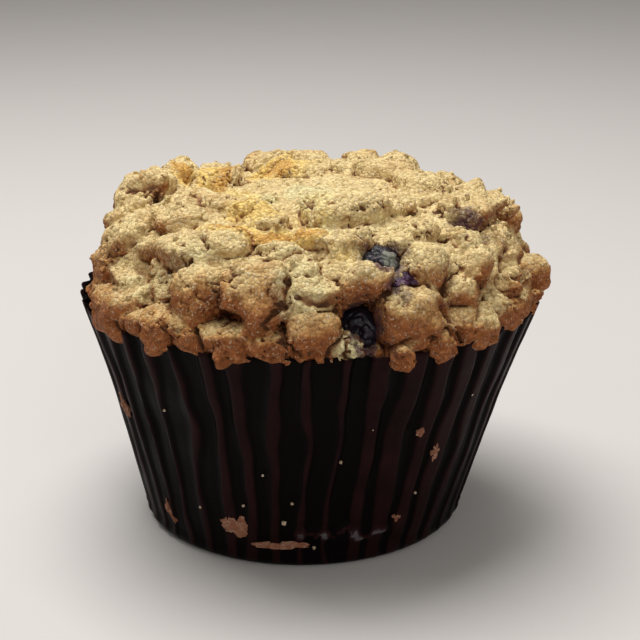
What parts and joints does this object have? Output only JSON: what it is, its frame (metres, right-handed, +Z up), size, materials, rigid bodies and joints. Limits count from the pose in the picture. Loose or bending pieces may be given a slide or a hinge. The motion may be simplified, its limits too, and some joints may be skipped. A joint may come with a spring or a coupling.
{
  "type": "blueberry streusel muffin in a paper baking cup",
  "caption": "Large crumb-topped blueberry muffin standing in a fluted dark paper baking cup, with a flat underside to rest on.",
  "frame": {"origin": "centre of the paper cup's flat underside, which the muffin stands on", "axes": "+Z up through the crust, -Y towards the front with the open blueberry hole, +X to the right of that front"},
  "size_m": [0.0874, 0.0883, 0.068],
  "materials": {
    "crumb": "matte",
    "paper": "satin",
    "berry": "satin"
  },
  "bodies": {
    "root": {"muffin": "crumb", "paper_cup": "paper", "blueberry_front": "berry", "blueberry_upper": "berry", "stuck_crumb_left": "crumb", "stuck_crumb_low_left": "crumb", "stuck_crumb_base_front": "crumb", "stuck_crumb_base_strip": "crumb", "stuck_crumb_right_upper": "crumb", "stuck_crumb_right": "crumb", "stuck_crumb_low_right": "crumb"}
  },
  "joints": []
}
